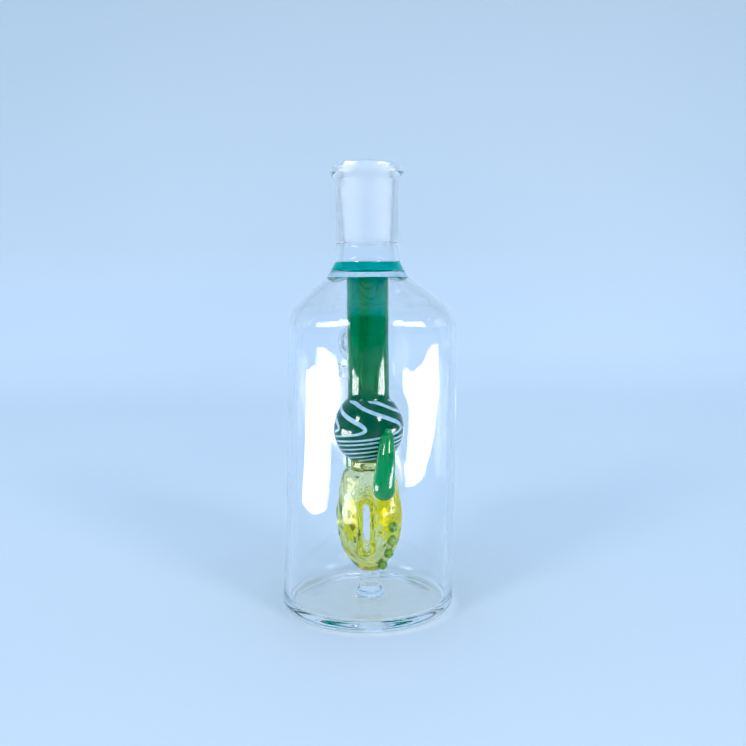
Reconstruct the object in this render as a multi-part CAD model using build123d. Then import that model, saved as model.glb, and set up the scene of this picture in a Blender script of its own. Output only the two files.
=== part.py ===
from build123d import *
from math import cos, radians, sin, sqrt, tan
import os

# A hand-blown glass bubbler bottle. Gas enters the ground joint at the top, runs down the
# green tube, through the worked ball and out of the yellow bulb into liquid, and leaves by
# the port on the back. +Z is up, the front is -Y, and the origin is the middle of the flat
# bottom, on the bottle's axis. All sizes are in millimetres.

# ---------------------------------------------------------------- driving dimensions
# Bottle body
BODY_OD = 46.0
BODY_WALL = 2.0
FLOOR_THICKNESS = 2.5
HEEL_ROUND = 2.2
FLOOR_WELD = 1.1
SHOULDER_TOP = 90.0
SHOULDER_ANGLE = 39.0
SHOULDER_ROUND = 9.2

# Seal between neck, green tube and shoulder
COLLAR_OD = 22.2
COLLAR_HEIGHT = 1.3
SEAL_RING_OD = 20.4
SEAL_RING_HEIGHT = 2.7
SEAL_ROUND = 0.5

# Neck: a 14/20 female ground joint
NECK_OD = 17.0
NECK_SHANK = 5.2
NECK_FLARE = 0.4
SHANK_BORE_TOP = 12.9
SHANK_BORE_FOOT = 13.8
JOINT_LARGE_D = 14.5
JOINT_TAPER = 0.1
JOINT_LENGTH = 20.0
JOINT_LEAD_IN = 1.3
LEAD_IN_FLARE = 0.35

# Rim bead round the mouth
RIM_OD = 20.2
RIM_HEIGHT = 4.5
RIM_TOP_STEP = 1.9
RIM_TOP_IN = 1.3
RIM_FOOT_STEP = 1.9
RIM_ROUND = 0.7

# Green downtube
TUBE_OD = 11.4
TUBE_WALL = 1.8
TUBE_LENGTH = 34.4

# Worked ball at the tube's foot, with white stringers laid into its skin
BALL_OD = 19.1
BALL_HEIGHT = 17.0
STRINGER_DEPTH = 0.5
STRINGER_WIDTH = 1.0
SWIRL_COUNT = 6
SWIRL_SLANT = 52.0
SWIRL_LOW_SHARE = 0.05
SWIRL_HIGH_SHARE = 0.45
SWIRL_REACH_SHARE = 0.5
RING_COUNT = 3
RING_TILT = 3.0
RING_FIRST = 0.285
RING_STEP = 0.085

# Weld between the ball and the bulb
EGG_NECK_HEIGHT = 2.0

# Yellow bulb: an egg with a slot-shaped tunnel through it from front to back
EGG_OD = 18.2
EGG_SHOULDER = 4.2
EGG_HEIGHT = 28.3
EGG_WALL = 1.6
EGG_FOOT_THICKNESS = 2.4
EGG_FOOT_TAPER = 0.15
# The outline between neck and foot: shares of the greatest radius and of the height
EGG_OUTLINE = [(0.79, 0.95), (0.91, 0.77), (1.00, 0.50), (0.87, 0.25), (0.54, 0.07)]
TUNNEL_SLOT_WIDTH = 2.8
TUNNEL_SLOT_HEIGHT = 13.6
TUNNEL_WALL = 1.3
TUNNEL_RISE = 13.2
TUNNEL_SHIFT = -0.8
OUTLET_D = 1.8
OUTLET_COUNT = 3
OUTLET_RISE = 6.4
OUTLET_START = 150.0
OUTLET_SPREAD = 60.0

# Green dots on the bulb, in one row at the front right and one at the rear left
DOT_D = 2.9
DOT_COUNT = 4
DOT_ROW_AZIMUTH = 46.0
DOT_LOWEST_RISE = 2.1
DOT_STEP = 3.7
DOT_SINK = 0.35

# Green horns that hang from the ball, at the front right and the rear left
HORN_TIP_D = 3.4
HORN_END_D = 6.0
HORN_SIDE_AT_BALL = 5.0
HORN_SIDE_AT_END = 3.9
HORN_SINK_AT_BALL = 0.28
HORN_TUCK_AT_END = 0.43
HORN_HANG = 14.2
HORN_START_SHARE = 0.50

# Stem and foot that carry the bulb on the floor
STEM_D = 5.4
FOOT_D = 7.2
FOOT_HEIGHT = 3.0
FOOT_ROUND = 0.9

# Rear port: weld collar, elbow, 14/20 male ground joint
PORT_AZIMUTH = 12.0
PORT_DROP = 19.2
PORT_OD = 11.0
PORT_WALL = 1.6
PORT_COLLAR_OD = 14.1
PORT_COLLAR_LENGTH = 3.0
ELBOW_RADIUS = 7.5
PORT_SHOULDER = 3.0
PORT_TIP_ROUND = 0.6
PORT_CLEAR_TIP = 1.4

# ---------------------------------------------------------------- places that follow
BODY_R = BODY_OD / 2
BODY_BORE_R = BODY_R - BODY_WALL
COLLAR_R = COLLAR_OD / 2
SEAL_RING_R = SEAL_RING_OD / 2
NECK_R = NECK_OD / 2
TUBE_R = TUBE_OD / 2
TUBE_BORE_R = TUBE_R - TUBE_WALL
BALL_FOOT_R = EGG_OD / 2 - EGG_SHOULDER
EGG_BORE_R = BALL_FOOT_R - TUBE_WALL
STEM_R = STEM_D / 2
PORT_R = PORT_OD / 2
PORT_BORE_R = PORT_R - PORT_WALL

COLLAR_TOP = SHOULDER_TOP + COLLAR_HEIGHT
SEAL_TOP = COLLAR_TOP + SEAL_RING_HEIGHT
JOINT_FOOT = SEAL_TOP + NECK_SHANK
JOINT_TOP = JOINT_FOOT + JOINT_LENGTH
NECK_TOP = JOINT_TOP + JOINT_LEAD_IN
TUBE_FOOT = COLLAR_TOP - TUBE_LENGTH
BALL_FOOT = TUBE_FOOT - BALL_HEIGHT
EGG_TOP = BALL_FOOT - EGG_NECK_HEIGHT
EGG_FOOT = EGG_TOP - EGG_HEIGHT
PORT_HEIGHT = SHOULDER_TOP - PORT_DROP


# ---------------------------------------------------------------- helpers
def rounded_edges(corners):
    """Edges of a closed outline in the XZ plane; a corner is (radius, height) or has a rounding."""
    count = len(corners)
    places = [Vector(c[0], 0, c[1]) for c in corners]
    starts, ends, edges = [], [], []
    for i, corner in enumerate(corners):
        here = places[i]
        rounding = corner[2] if len(corner) > 2 else 0
        if rounding == 0:
            starts.append(here)
            ends.append(here)
            continue
        back = (places[i - 1] - here).normalized()
        ahead = (places[(i + 1) % count] - here).normalized()
        half_turn = radians(back.get_angle(ahead)) / 2
        reach = rounding / tan(half_turn)
        middle = here + (back + ahead).normalized() * (rounding / sin(half_turn) - rounding)
        starts.append(here + back * reach)
        ends.append(here + ahead * reach)
        edges.append(ThreePointArc(starts[i], middle, ends[i]))
    for i in range(count):
        edges.append(Line(ends[i], starts[(i + 1) % count]))
    return edges


def turned(corners):
    """A solid of revolution about the Z axis from a closed, rounded outline."""
    return revolve(make_face(rounded_edges(corners)), Axis.Z, 360)


def turned_between(outer, inner):
    """A shell of revolution between two open edges that run from its top to its foot."""
    rim = Line(outer @ 0, inner @ 0)
    foot = Line(outer @ 1, inner @ 1)
    return revolve(make_face([outer, rim, inner, foot]), Axis.Z, 360)


def turned_under(curve):
    """A full solid of revolution under one open edge that runs from its top to its foot."""
    top = curve @ 0
    foot = curve @ 1
    lid = Line(Vector(0, 0, top.Z), top)
    base = Line(foot, Vector(0, 0, foot.Z))
    axis = Line(Vector(0, 0, foot.Z), Vector(0, 0, top.Z))
    return revolve(make_face([lid, curve, base, axis]), Axis.Z, 360)


def arc_through(top, middle, foot):
    return ThreePointArc(*[Vector(r, 0, z) for r, z in (top, middle, foot)])


def smooth_through(points):
    return Spline(*[Vector(r, 0, z) for r, z in points])


def at_front(azimuth):
    """Turns a thing about Z so that what was at +X lies at azimuth degrees to the right of the front."""
    return Rot(0, 0, azimuth - 90)


# ---------------------------------------------------------------- bottle body
def port_place():
    """The port's own frame: X runs out of the back wall along the port, Z stays up."""
    return Pos(0, 0, PORT_HEIGHT) * Rot(0, 0, 90 + PORT_AZIMUTH)


def port_bore():
    return port_place() * Pos(BODY_R, 0, 0) * Rot(0, 90, 0) * Cylinder(PORT_BORE_R, BODY_OD / 2)


def shoulder_corner_height():
    """Where the wall and the shoulder would meet if nothing were rounded."""
    return SHOULDER_TOP - (BODY_R - COLLAR_R) * tan(radians(SHOULDER_ANGLE))


def body_outside():
    """The space inside the wall's and the shoulder's outer face."""
    return turned([
        (0, FLOOR_THICKNESS),
        (BODY_R, FLOOR_THICKNESS),
        (BODY_R, shoulder_corner_height(), SHOULDER_ROUND),
        (COLLAR_R, SHOULDER_TOP),
        (0, SHOULDER_TOP),
    ])


def body_tube():
    """The straight wall and the sloping shoulder, with a hole for the port."""
    slope = radians(SHOULDER_ANGLE)
    corner_height = shoulder_corner_height()
    bore_corner_height = corner_height - BODY_WALL * (1 - sin(slope)) / cos(slope)
    shell = turned([
        (BODY_R, FLOOR_THICKNESS),
        (BODY_R, corner_height, SHOULDER_ROUND),
        (COLLAR_R, SHOULDER_TOP),
        (COLLAR_R - BODY_WALL / sin(slope), SHOULDER_TOP),
        (BODY_BORE_R, bore_corner_height, SHOULDER_ROUND - BODY_WALL),
        (BODY_BORE_R, FLOOR_THICKNESS + FLOOR_WELD, FLOOR_WELD),
        (BODY_BORE_R - FLOOR_WELD, FLOOR_THICKNESS),
    ])
    return shell - port_bore()


def base_disc():
    """The flat floor with its rounded heel."""
    return turned([
        (0, 0),
        (BODY_R, 0, HEEL_ROUND),
        (BODY_R, FLOOR_THICKNESS),
        (0, FLOOR_THICKNESS),
    ])


# ---------------------------------------------------------------- neck and seal
def neck_joint():
    """The female joint: a tapered ground bore above a clear shank."""
    large_r = JOINT_LARGE_D / 2
    small_r = large_r - JOINT_LENGTH * JOINT_TAPER / 2
    return turned([
        (NECK_R, NECK_TOP),
        (NECK_R, JOINT_FOOT),
        (NECK_R + NECK_FLARE, SEAL_TOP),
        (SHANK_BORE_FOOT / 2, SEAL_TOP),
        (SHANK_BORE_TOP / 2, JOINT_FOOT),
        (small_r, JOINT_FOOT),
        (large_r, JOINT_TOP),
        (large_r + LEAD_IN_FLARE, NECK_TOP),
    ])


def rim_bead():
    """The thick bead fused round the mouth."""
    rim_r = RIM_OD / 2
    foot = NECK_TOP - RIM_HEIGHT
    return turned([
        (NECK_R, foot),
        (rim_r, foot + RIM_FOOT_STEP, RIM_ROUND),
        (rim_r, NECK_TOP - RIM_TOP_STEP, RIM_ROUND),
        (rim_r - RIM_TOP_IN, NECK_TOP),
        (NECK_R, NECK_TOP),
    ])


def seal_ring():
    """The flared green end of the downtube, whose edge shows as a band below the neck."""
    return turned([
        (NECK_R + NECK_FLARE, SEAL_TOP),
        (SEAL_RING_R - SEAL_ROUND, SEAL_TOP - SEAL_RING_HEIGHT / 2, SEAL_ROUND),
        (SEAL_RING_R, COLLAR_TOP),
        (TUBE_BORE_R, COLLAR_TOP),
        (SHANK_BORE_FOOT / 2, SEAL_TOP),
    ])


def seal_collar():
    """The clear weld that joins the green flare to the shoulder, round the downtube."""
    return turned([
        (SEAL_RING_R, COLLAR_TOP),
        (COLLAR_R, SHOULDER_TOP),
        (TUBE_R, SHOULDER_TOP),
        (TUBE_R, COLLAR_TOP),
    ])


# ---------------------------------------------------------------- downtube and ball
def downtube():
    return turned([
        (TUBE_R, COLLAR_TOP),
        (TUBE_R, TUBE_FOOT),
        (TUBE_BORE_R, TUBE_FOOT),
        (TUBE_BORE_R, COLLAR_TOP),
    ])


def ball_edge(inset):
    """The ball's outline, moved in by inset."""
    middle = (BALL_OD / 2 - inset, (TUBE_FOOT + BALL_FOOT) / 2)
    return arc_through((TUBE_R - inset, TUBE_FOOT), middle, (BALL_FOOT_R - inset, BALL_FOOT))


def stringer_skin():
    return turned_between(ball_edge(0), ball_edge(STRINGER_DEPTH))


def ball_swirls():
    """Slanting stringers round the upper half of the ball."""
    middle = (TUBE_FOOT + BALL_FOOT) / 2
    height = BALL_HEIGHT * (SWIRL_HIGH_SHARE - SWIRL_LOW_SHARE)
    rise = BALL_HEIGHT * (SWIRL_HIGH_SHARE + SWIRL_LOW_SHARE) / 2
    band = Pos(BALL_OD / 2, 0, middle + rise)
    ribbon = Rot(SWIRL_SLANT, 0, 0) * Box(BALL_OD, BALL_OD, STRINGER_WIDTH)
    room = Box(BALL_OD, BALL_OD * SWIRL_REACH_SHARE, height)
    stringer = stringer_skin() & (band * ribbon) & (band * room)
    turn = 360 / SWIRL_COUNT
    return Compound([Rot(0, 0, i * turn) * stringer.solid() for i in range(SWIRL_COUNT)])


def ball_rings():
    """Nearly level stringers round the lower half of the ball."""
    skin = stringer_skin()
    rings = []
    for i in range(RING_COUNT):
        height = BALL_FOOT + BALL_HEIGHT * (RING_FIRST - RING_STEP * i)
        slab = Pos(0, 0, height) * Rot(0, -RING_TILT, 0) * Box(BALL_OD * 2, BALL_OD * 2, STRINGER_WIDTH / 2)
        rings.append((skin & slab).solid())
    return Compound(rings)


def worked_ball(stringers):
    """The hollow green ball, with the grooves that its stringers lie in."""
    shell = turned_between(ball_edge(0), ball_edge(TUBE_WALL))
    for group in stringers:
        shell = shell - group
    return shell


# ---------------------------------------------------------------- bulb
def egg_edge(inset, foot_lift):
    """The bulb's outline from its neck to its foot, moved in by inset and closed above the foot."""
    widest = EGG_OD / 2 - inset
    span = EGG_HEIGHT - foot_lift
    foot = EGG_FOOT + foot_lift
    top_place = (BALL_FOOT_R - min(inset, TUBE_WALL), EGG_TOP)
    foot_place = (STEM_R - EGG_FOOT_TAPER * inset, foot)
    between = [(widest * across, foot + span * up) for across, up in EGG_OUTLINE]
    return smooth_through([top_place, *between, foot_place])


def egg_solid():
    return turned_under(egg_edge(0, 0))


def tunnel_block(width, height):
    """A slot-shaped bar that runs right through the bulb from front to back."""
    slot = SlotOverall(height, width, rotation=90)
    bar = extrude(slot, amount=EGG_OD, both=True)
    return Pos(TUNNEL_SHIFT, 0, EGG_FOOT + TUNNEL_RISE) * Rot(90, 0, 0) * bar


def tunnel_outer():
    return tunnel_block(TUNNEL_SLOT_WIDTH + 2 * TUNNEL_WALL, TUNNEL_SLOT_HEIGHT + 2 * TUNNEL_WALL)


def egg_tunnel():
    """The wall of the tunnel, flush with the bulb at both ends."""
    return (tunnel_outer() & egg_solid()) - tunnel_block(TUNNEL_SLOT_WIDTH, TUNNEL_SLOT_HEIGHT)


def outlet_holes():
    """Small holes low in the bulb's back, where the gas leaves it."""
    holes = []
    for i in range(OUTLET_COUNT):
        drill = Pos(EGG_OD / 2, 0, EGG_FOOT + OUTLET_RISE) * Rot(0, 90, 0) * Cylinder(OUTLET_D / 2, EGG_OD)
        holes.append(at_front(OUTLET_START + i * OUTLET_SPREAD / (OUTLET_COUNT - 1)) * drill)
    return holes


def egg_bulb():
    """The hollow yellow bulb, open to the ball above."""
    cavity = turned_under(egg_edge(EGG_WALL, EGG_FOOT_THICKNESS))
    shell = egg_solid() - cavity - tunnel_outer()
    for hole in outlet_holes():
        shell = shell - hole
    return shell


def egg_neck():
    """The pale weld between ball and bulb."""
    return turned([
        (BALL_FOOT_R, BALL_FOOT),
        (BALL_FOOT_R, EGG_TOP),
        (EGG_BORE_R, EGG_TOP),
        (EGG_BORE_R, BALL_FOOT),
    ])


def egg_radius_at(height):
    """How wide the bulb is at one height, measured on its own outline."""
    level = Line(Vector(0, 0, height), Vector(EGG_OD, 0, height))
    return egg_edge(0, 0).find_intersection_points(level)[0].X


def egg_dots(row_azimuth):
    """A row of dots down the bulb, each standing proud of its surface."""
    egg = egg_solid()
    dots = []
    for i in range(DOT_COUNT):
        height = EGG_FOOT + DOT_LOWEST_RISE + i * DOT_STEP
        reach = egg_radius_at(height) - DOT_SINK
        dot = at_front(row_azimuth) * Pos(reach, 0, height) * Sphere(DOT_D / 2)
        dots.append((dot - egg).solid())
    return Compound(dots)


# ---------------------------------------------------------------- horns, stem and foot
def horn_place(reach, side, height):
    """A place at the front, at a distance from the axis and to the right of the middle."""
    return Vector(side, -sqrt(reach ** 2 - side ** 2), height)


def horn():
    """A tapered rod with round ends that hangs from the ball, in front of the bulb."""
    small_r = HORN_TIP_D / 2
    large_r = HORN_END_D / 2
    start_height = BALL_FOOT + BALL_HEIGHT * HORN_START_SHARE
    start = horn_place(BALL_OD / 2 - HORN_SINK_AT_BALL, HORN_SIDE_AT_BALL, start_height)
    end = horn_place(EGG_OD / 2 + large_r - HORN_TUCK_AT_END, HORN_SIDE_AT_END, start_height - HORN_HANG)
    run = end - start
    length = run.length
    rise = (large_r - small_r) / length
    level = sqrt(1 - rise * rise)
    side = Line(
        Vector(small_r * level, 0, -small_r * rise),
        Vector(large_r * level, 0, length - large_r * rise),
    )
    small_end = ThreePointArc(
        Vector(0, 0, -small_r),
        Vector(small_r * sin(radians(45)), 0, -small_r * cos(radians(45))),
        side @ 0,
    )
    large_end = ThreePointArc(
        side @ 1,
        Vector(large_r * sin(radians(45)), 0, length + large_r * cos(radians(45))),
        Vector(0, 0, length + large_r),
    )
    axis = Line(large_end @ 1, small_end @ 0)
    rod = revolve(make_face([small_end, side, large_end, axis]), Axis.Z, 360)
    ball = turned_under(ball_edge(0))
    return Plane(origin=start, z_dir=run) * rod - ball


def support_stem():
    """The clear rod under the bulb."""
    return turned([
        (0, FLOOR_THICKNESS + FOOT_HEIGHT),
        (STEM_R, FLOOR_THICKNESS + FOOT_HEIGHT),
        (STEM_R, EGG_FOOT),
        (0, EGG_FOOT),
    ])


def stem_foot():
    """The button that welds the stem to the floor."""
    return turned([
        (0, FLOOR_THICKNESS),
        (FOOT_D / 2, FLOOR_THICKNESS),
        (FOOT_D / 2, FLOOR_THICKNESS + FOOT_HEIGHT / 2, FOOT_ROUND),
        (STEM_R, FLOOR_THICKNESS + FOOT_HEIGHT),
        (0, FLOOR_THICKNESS + FOOT_HEIGHT),
    ])


# ---------------------------------------------------------------- rear port
def port_collar():
    """The flared weld round the port, fitted to the curved back wall."""
    cone = Cone(PORT_COLLAR_OD / 2, PORT_R, PORT_COLLAR_LENGTH + BODY_WALL)
    middle = BODY_R + (PORT_COLLAR_LENGTH - BODY_WALL) / 2
    flare = port_place() * Pos(middle, 0, 0) * Rot(0, 90, 0) * cone
    return flare - body_outside() - port_bore()


def port_elbow():
    """A quarter bend from the wall to straight down."""
    ring = Circle(PORT_R) - Circle(PORT_BORE_R)
    start = Plane(origin=(BODY_R + PORT_COLLAR_LENGTH, 0, 0), x_dir=(0, 1, 0), z_dir=(1, 0, 0))
    pivot = Axis((BODY_R + PORT_COLLAR_LENGTH, 0, -ELBOW_RADIUS), (0, 1, 0))
    return port_place() * revolve(start * ring, pivot, 90)


def port_joint():
    """The male joint: a tapered ground cone that points down."""
    top = -ELBOW_RADIUS
    ground_top = top - PORT_SHOULDER
    ground_foot = ground_top - JOINT_LENGTH
    large_r = JOINT_LARGE_D / 2
    small_r = large_r - JOINT_LENGTH * JOINT_TAPER / 2
    cone = turned([
        (PORT_R, top),
        (large_r, ground_top),
        (small_r, ground_foot),
        (small_r - PORT_TIP_ROUND, ground_foot - PORT_CLEAR_TIP),
        (PORT_BORE_R, ground_foot - PORT_CLEAR_TIP),
        (PORT_BORE_R, top),
    ])
    return port_place() * Pos(BODY_R + PORT_COLLAR_LENGTH + ELBOW_RADIUS, 0, 0) * cone


# ---------------------------------------------------------------- assembly
def all_nodes():
    swirls = ball_swirls()
    rings = ball_rings()
    front_horn = horn()
    return {
        "body_tube": body_tube(),
        "base_disc": base_disc(),
        "neck_joint": neck_joint(),
        "rim_bead": rim_bead(),
        "seal_ring": seal_ring(),
        "seal_collar": seal_collar(),
        "downtube": downtube(),
        "worked_ball": worked_ball([swirls, rings]),
        "ball_swirls": swirls,
        "ball_rings": rings,
        "egg_neck": egg_neck(),
        "egg_bulb": egg_bulb(),
        "egg_tunnel": egg_tunnel(),
        "egg_dots_front": egg_dots(DOT_ROW_AZIMUTH),
        "egg_dots_rear": egg_dots(DOT_ROW_AZIMUTH + 180),
        "horn_front": front_horn,
        "horn_rear": Rot(0, 0, 180) * front_horn,
        "support_stem": support_stem(),
        "stem_foot": stem_foot(),
        "port_collar": port_collar(),
        "port_elbow": port_elbow(),
        "port_joint": port_joint(),
    }


os.makedirs("parts", exist_ok=True)
for name, shape in all_nodes().items():
    export_step(shape, f"parts/{name}.step")
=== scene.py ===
import math

import bmesh
import bpy
from mathutils import Matrix, Vector, noise


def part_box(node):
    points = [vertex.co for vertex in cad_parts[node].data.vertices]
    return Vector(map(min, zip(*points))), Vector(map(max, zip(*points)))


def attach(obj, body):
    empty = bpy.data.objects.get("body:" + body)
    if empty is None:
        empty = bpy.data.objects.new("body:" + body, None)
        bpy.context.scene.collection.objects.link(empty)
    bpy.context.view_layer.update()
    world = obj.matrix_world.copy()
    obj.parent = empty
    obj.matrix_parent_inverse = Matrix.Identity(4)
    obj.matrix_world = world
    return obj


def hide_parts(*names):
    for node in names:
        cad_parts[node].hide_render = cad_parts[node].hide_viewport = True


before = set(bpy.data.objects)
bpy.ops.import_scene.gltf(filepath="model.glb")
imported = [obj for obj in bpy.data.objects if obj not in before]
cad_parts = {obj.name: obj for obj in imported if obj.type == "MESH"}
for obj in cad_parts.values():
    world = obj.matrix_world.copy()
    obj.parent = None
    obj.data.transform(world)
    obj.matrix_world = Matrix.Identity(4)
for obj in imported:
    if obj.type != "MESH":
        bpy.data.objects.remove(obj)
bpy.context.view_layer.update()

# A hand-blown glass bubbler bottle. The clear bottle is one closed glass surface, and each of its
# welded parts is a piece of that surface, so light bends at real faces only and never at a weld.
# Lengths are in metres, as the frame's are. The front is -Y.

MM = 0.001

# ---------------------------------------------------------------- sizes that the boxes don't give
BODY_WALL = 2.0 * MM
TUBE_WALL = 1.8 * MM
EGG_WALL = 1.6 * MM
EGG_FLOOR = 2.4 * MM
SHOULDER_SLOPE = math.radians(39)
SHOULDER_ROUND = 9.2 * MM
HEEL_ROUND = 2.2 * MM
FLOOR_WELD = 1.5 * MM
BOTTOM_HOLLOW = 0.3 * MM
JOINT_LARGE_R = 7.25 * MM
JOINT_SMALL_R = 6.25 * MM
JOINT_LENGTH = 20.0 * MM
SHANK_TOP_R = 6.45 * MM
SHANK_FOOT_R = 6.9 * MM
PORT_AZIMUTH = math.radians(12)
PORT_WALL = 1.6 * MM
PORT_WELD = 1.55 * MM
PORT_SHOULDER = 3.0 * MM
PORT_CONE_TAPER = 1.0 * MM
NECK_TAPER = 0.4 * MM
MOUTH_LEDGE = 1.3 * MM
EGG_R = 9.1 * MM
OUTLET_R = 0.9 * MM
OUTLET_RISE = 6.4 * MM
OUTLET_AZIMUTHS = (150, 180, 210)
SLOT_WIDTH = 1.9 * MM
SLOT_HEIGHT = 13.6 * MM
SLOT_WALL = 0.9 * MM
EGG_NECK_GAP = 0.05 * MM
MELT_CELL = 0.22 * MM
MELT_ROUNDS = 10
DOT_R = 1.45 * MM
DOT_SINK = 0.35 * MM
DOT_COUNT = 4
DOT_AZIMUTH = math.radians(46)
BALL_PAST_RINGS = 0.6 * MM  # how far the ball's widest circle stands outside its lower rings
BALL_WAIST = 0.8 * MM
SEAL_SKIN = 0.35 * MM
STRINGER_PROUD = 0.05 * MM
STRINGER_SUNK = 0.25 * MM

# Gold clouds in the bulb: a centre and how far each reaches
GOLD_CLOUDS = [
    ((4.6 * MM, 0, 26.0 * MM), (5.6 * MM, 9.0 * MM, 8.2 * MM)),
    ((-4.8 * MM, 0, 23.0 * MM), (2.6 * MM, 9.0 * MM, 5.4 * MM)),
]

# What the picture shows as black, which gives its colours their depth
PICTURE_BLACK = (0.062, 0.035, 0.075)

# The cards beside the bottle: how brightly they shine upward, and their height over the floor
CARD_GLOW = 12.0
CARD_HEIGHT = 1.0 * MM

# How often light may bend or bounce, enough for a ray caught in the thick floor to leave it
LIGHT_BOUNCES = 48
CLEAR_BOUNCES = 16

# How fine the turned surfaces are
ROUND_STEPS = 144
RUN_STEP = 1.0 * MM
ARC_STEP = math.radians(11)

# How far the hand-made glass strays from true. The lean peaks at a share of the shoulder's height and
# eases in over a share of the radius; the foot's own lean and swell are gone above a share and a height.
BODY_LEAN = 1.2 * MM
LEAN_PEAK = 0.85
LEAN_EASE = 0.4
FOOT_LEAN = 0.7 * MM
FOOT_SHARE = 0.4
FOOT_SWELL = 0.55 * MM
SWELL_HEIGHT = 9 * MM
STEADY_HEIGHT = 4 * MM
WAVE_SIZE = 11.0 * MM
WAVE_DEPTH = 0.07 * MM
EGG_WAVE_SIZE = 4.5 * MM
EGG_WAVE_DEPTH = 0.3 * MM


# ---------------------------------------------------------------- places read from the frame
def top_of(node):
    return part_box(node)[1].z


def foot_of(node):
    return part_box(node)[0].z


def radius_of(node):
    """How far a node reaches to +X, which is its radius where it is round about Z."""
    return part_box(node)[1].x


BODY_R = radius_of("body_tube")
FLOOR_TOP = top_of("base_disc")
SHOULDER_TOP = top_of("body_tube")
COLLAR_R = radius_of("seal_collar")
COLLAR_TOP = top_of("seal_collar")
SEAL_R = radius_of("seal_ring")
SEAL_TOP = top_of("seal_ring")
NECK_TOP = top_of("neck_joint")
NECK_FOOT_R = radius_of("neck_joint")
RIM_R = radius_of("rim_bead")
RIM_FOOT = foot_of("rim_bead")
TUBE_R = radius_of("downtube")
TUBE_FOOT = foot_of("downtube")
BALL_R = radius_of("ball_rings") + BALL_PAST_RINGS
BALL_FOOT = foot_of("worked_ball")
BALL_MIDDLE = (TUBE_FOOT + BALL_FOOT) / 2
BALL_FOOT_R = radius_of("egg_neck")
EGG_TOP = top_of("egg_bulb")
EGG_FOOT = foot_of("egg_bulb")
STEM_R = radius_of("support_stem")
FOOT_R = radius_of("stem_foot")
FOOT_TOP = top_of("stem_foot")
NECK_R = NECK_FOOT_R - NECK_TAPER
JOINT_FOOT = NECK_TOP - MOUTH_LEDGE - JOINT_LENGTH
PORT_Z = (top_of("port_collar") + foot_of("port_collar")) / 2
PORT_COLLAR_R = (top_of("port_collar") - foot_of("port_collar")) / 2
PORT_R = PORT_COLLAR_R - PORT_WELD
ELBOW_FOOT = foot_of("port_elbow")
PORT_FOOT = foot_of("port_joint")
PORT_JOINT_R = (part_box("port_joint")[1].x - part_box("port_joint")[0].x) / 2


# ---------------------------------------------------------------- shaders
def shader(name, **inputs):
    """A material with one Principled shader whose sockets are set by name."""
    material = bpy.data.materials.new(name)
    material.use_nodes = True
    principled = material.node_tree.nodes["Principled BSDF"]
    for socket, value in inputs.items():
        principled.inputs[socket.replace("_", " ")].default_value = value
    return material, material.node_tree, principled


def add(tree, kind, **settings):
    node = tree.nodes.new(kind)
    for key, value in settings.items():
        if key in node.inputs:
            node.inputs[key].default_value = value
        else:
            setattr(node, key, value)
    return node


def place_texture(tree, kind, scale, detail=2.0, stretch=(1, 1, 1)):
    """A noise in the object's own space, stretched along its axes."""
    coords = add(tree, "ShaderNodeTexCoord")
    mapping = add(tree, "ShaderNodeMapping")
    mapping.inputs["Scale"].default_value = stretch
    texture = add(tree, kind)
    texture.inputs["Scale"].default_value = scale
    if "Detail" in texture.inputs:
        texture.inputs["Detail"].default_value = detail
    tree.links.new(coords.outputs["Object"], mapping.inputs["Vector"])
    tree.links.new(mapping.outputs["Vector"], texture.inputs["Vector"])
    return texture


def bump(tree, principled, texture, strength, distance):
    node = add(tree, "ShaderNodeBump")
    node.inputs["Strength"].default_value = strength
    node.inputs["Distance"].default_value = distance
    height = texture.outputs.get("Fac") or texture.outputs["Distance"]
    tree.links.new(height, node.inputs["Height"])
    tree.links.new(node.outputs["Normal"], principled.inputs["Normal"])


def colour_ramp(tree, value, stops):
    """Turns a value into a colour, through stops of (value, colour)."""
    ramp = add(tree, "ShaderNodeValToRGB")
    elements = ramp.color_ramp.elements
    for place, _ in stops[2:]:
        elements.new(place)
    for element, (place, colour) in zip(elements, stops):
        element.position = place
        element.color = (*colour, 1)
    tree.links.new(value, ramp.inputs["Fac"])
    return ramp.outputs["Color"]


# The Mix node's sockets for colours
MIX_A, MIX_B, MIX_RESULT = 6, 7, 2


def multiply(tree, one, other):
    """Multiplies two colours."""
    mix = add(tree, "ShaderNodeMix", data_type="RGBA", blend_type="MULTIPLY")
    mix.inputs["Factor"].default_value = 1.0
    tree.links.new(one, mix.inputs[MIX_A])
    tree.links.new(other, mix.inputs[MIX_B])
    return mix.outputs[MIX_RESULT]


def height_in_place(tree):
    """The height of a point in the object's own space, which is the frame's."""
    coords = add(tree, "ShaderNodeTexCoord")
    split = add(tree, "ShaderNodeSeparateXYZ")
    tree.links.new(coords.outputs["Object"], split.inputs["Vector"])
    return split.outputs["Z"]


def tint(tree, principled, texture, low, high, start=0.35, end=0.65):
    """Colours a surface between two colours by a texture."""
    colour = colour_ramp(tree, texture.outputs[0], [(start, low), (end, high)])
    tree.links.new(colour, principled.inputs["Base Color"])


def absorb(tree, colour, density):
    """Colours a solid glass by how much of it the light passes through."""
    volume = add(tree, "ShaderNodeVolumeAbsorption")
    volume.inputs["Color"].default_value = (*colour, 1)
    volume.inputs["Density"].default_value = density
    output = tree.nodes["Material Output"]
    tree.links.new(volume.outputs["Volume"], output.inputs["Volume"])


def clear_glass():
    material, tree, principled = shader(
        "clear_glass", Base_Color=(0.985, 0.995, 1.0, 1), Roughness=0.0, IOR=1.47, Transmission_Weight=1.0)
    waves = place_texture(tree, "ShaderNodeTexNoise", 160, 1.0, (1, 1, 0.35))
    bump(tree, principled, waves, 0.06, 0.4 * MM)
    return material


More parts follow.
